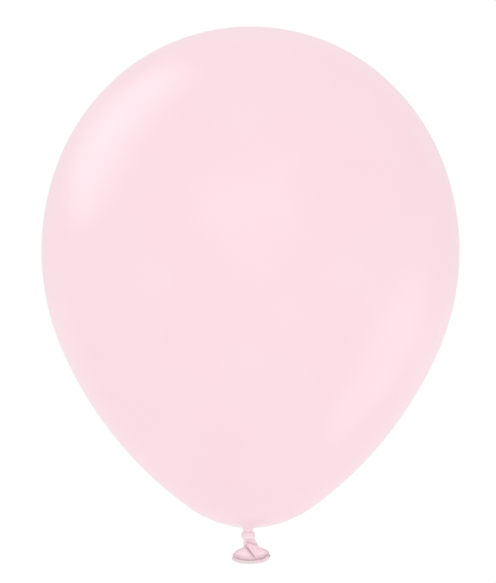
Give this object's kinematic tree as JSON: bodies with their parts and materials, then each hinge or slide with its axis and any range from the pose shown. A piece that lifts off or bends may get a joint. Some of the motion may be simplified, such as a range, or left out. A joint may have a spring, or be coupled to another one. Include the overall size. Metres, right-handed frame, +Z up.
{
  "type": "latex balloon",
  "caption": "Inflated teardrop latex balloon, tied with an overhand knot in its neck, with a flared tail and rolled lip below the knot.",
  "frame": {"origin": "the tie point: the centre of the neck's pinch just above the knot", "axes": "+Z up through the crown of the balloon, +X across the flat of the tail to the right, the tail's folded front facing -Y"},
  "size_m": [0.2996, 0.2996, 0.3855],
  "materials": {
    "latex_film": "stretched pastel latex film, satin",
    "latex_gathered": "slack, gathered pastel latex, satin",
    "latex_bead": "rolled latex bead, satin"
  },
  "bodies": {
    "envelope": {"envelope": "latex_film"},
    "neck": {"neck_gather": "latex_film", "neck_stem": "latex_gathered"},
    "knot": {"knot": "latex_gathered"},
    "tail": {"tail_skirt": "latex_gathered", "lip_bead": "latex_bead"}
  },
  "joints": [
    {"name": "neck_sway", "type": "hinge", "parent": "envelope", "child": "neck", "pos_m": [0.0018, 0, 0.0011], "axis": [0, 1, 0], "range_deg": [-25, 25], "stiffness_Nm_per_rad": 0.0002},
    {"name": "knot_twist", "type": "hinge", "parent": "neck", "child": "knot", "pos_m": [0, 0, -0.0012], "axis": [0, 0, 1], "range_deg": [-90, 90], "stiffness_Nm_per_rad": 0.0002},
    {"name": "tail_flop", "type": "hinge", "parent": "knot", "child": "tail", "pos_m": [0.0015, 0.0031, -0.0098], "axis": [1, 0, 0], "range_deg": [-70, 70], "stiffness_Nm_per_rad": 0.0002}
  ]
}
